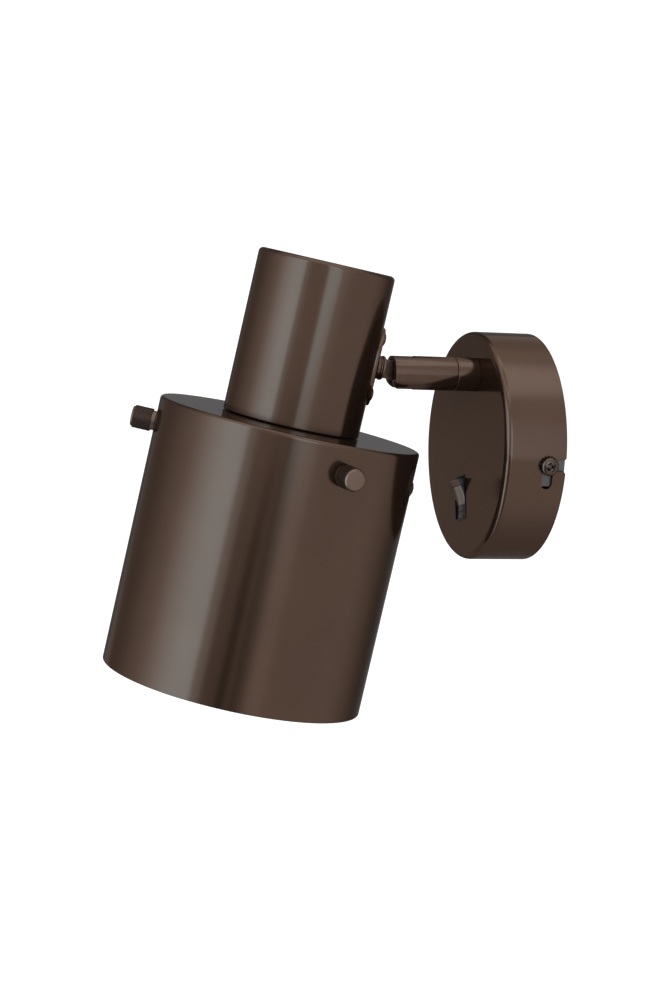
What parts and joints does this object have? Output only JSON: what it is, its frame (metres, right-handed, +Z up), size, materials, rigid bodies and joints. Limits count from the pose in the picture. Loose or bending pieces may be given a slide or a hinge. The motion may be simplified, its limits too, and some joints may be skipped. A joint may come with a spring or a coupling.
{
  "type": "wall lamp",
  "caption": "Wall spot lamp: a round canopy with a rocker switch, a swivelling arm with a tilting knuckle, a closed cup with a lamp holder, and a wide drum shade.",
  "frame": {"origin": "centre of the canopy on the wall plane", "axes": "+Y into the wall, so the lamp reaches out along -Y; +Z up; +X to the right for someone facing the wall"},
  "size_m": [0.1358, 0.1848, 0.2013],
  "materials": {
    "bronze": "brushed sheet and turned steel with a dark bronze coat",
    "zinc": "zinc plated steel",
    "screw_steel": "dark plated steel",
    "brass": "plain turned or pressed brass",
    "black_plastic": "moulded, fine grain",
    "rubber": "moulded",
    "ceramic": "fired steatite, semi gloss",
    "block_plastic": "moulded"
  },
  "bodies": {
    "wall_mount": {"wall_plate": "zinc", "canopy_cover": "bronze", "side_screws": "screw_steel", "side_washers": "screw_steel", "earth_screw": "brass", "cable_grommet": "rubber", "terminal_block": "block_plastic", "terminal_tubes": "brass", "terminal_screws": "zinc", "block_screw": "zinc", "switch_housing": "black_plastic", "switch_tabs": "brass", "arm_collar": "bronze", "swivel_nipple": "brass", "nipple_washer": "zinc", "nipple_nut": "zinc", "swivel_washer": "black_plastic", "swivel_nut": "zinc"},
    "rocker": {"switch_rocker": "bronze"},
    "arm": {"arm_tube": "bronze", "arm_plug": "bronze", "knuckle_pin": "bronze", "friction_washers": "zinc"},
    "head": {"knuckle_tongue": "bronze", "knuckle_washer": "bronze", "knuckle_nut": "zinc", "saddle_plate": "bronze", "saddle_screws": "bronze", "saddle_nuts": "zinc", "socket_cup": "bronze", "holder_bridge": "zinc", "holder_nipple": "brass", "holder_nuts": "zinc", "holder_cap": "black_plastic", "holder_core": "ceramic", "screw_shell": "brass", "centre_contact": "brass", "holder_skirt": "black_plastic", "holder_ring": "black_plastic", "shade_cap": "bronze", "cap_collar": "zinc", "thumb_bushes": "brass", "drum_shade": "bronze"},
    "front_screw": {"thumb_screw_front": "bronze"},
    "left_screw": {"thumb_screw_left": "bronze"},
    "rear_screw": {"thumb_screw_rear": "bronze"}
  },
  "joints": [
    {"name": "arm_swivel", "type": "hinge", "parent": "wall_mount", "child": "arm", "pos_m": [0, -0.038, 0.0327], "axis": [0, 1, 0], "range_deg": [-150, 175]},
    {"name": "head_tilt", "type": "hinge", "parent": "arm", "child": "head", "pos_m": [0, -0.061, 0.0327], "axis": [0.9789, 0, 0.2045], "range_deg": [-55, 17]},
    {"name": "switch_rock", "type": "hinge", "parent": "wall_mount", "child": "rocker", "pos_m": [0.004, -0.0264, -0.0232], "axis": [0.8829, 0, 0.4695], "range_deg": [-24, 0]},
    {"name": "front_screw_turn", "type": "hinge", "parent": "head", "child": "front_screw", "pos_m": [0.06185, -0.1019, 0.00801], "axis": [0.9701, 0.1711, 0.1722], "range_deg": [0, 720]},
    {"name": "left_screw_turn", "type": "hinge", "parent": "head", "child": "left_screw", "pos_m": [-0.01354, -0.16371, 0.00328], "axis": [-0.3678, -0.9257, 0.0882], "range_deg": [0, 720]},
    {"name": "rear_screw_turn", "type": "hinge", "parent": "head", "child": "rear_screw", "pos_m": [-0.00289, -0.05883, -0.02014], "axis": [-0.2027, 0.9558, -0.2128], "range_deg": [0, 720]}
  ]
}
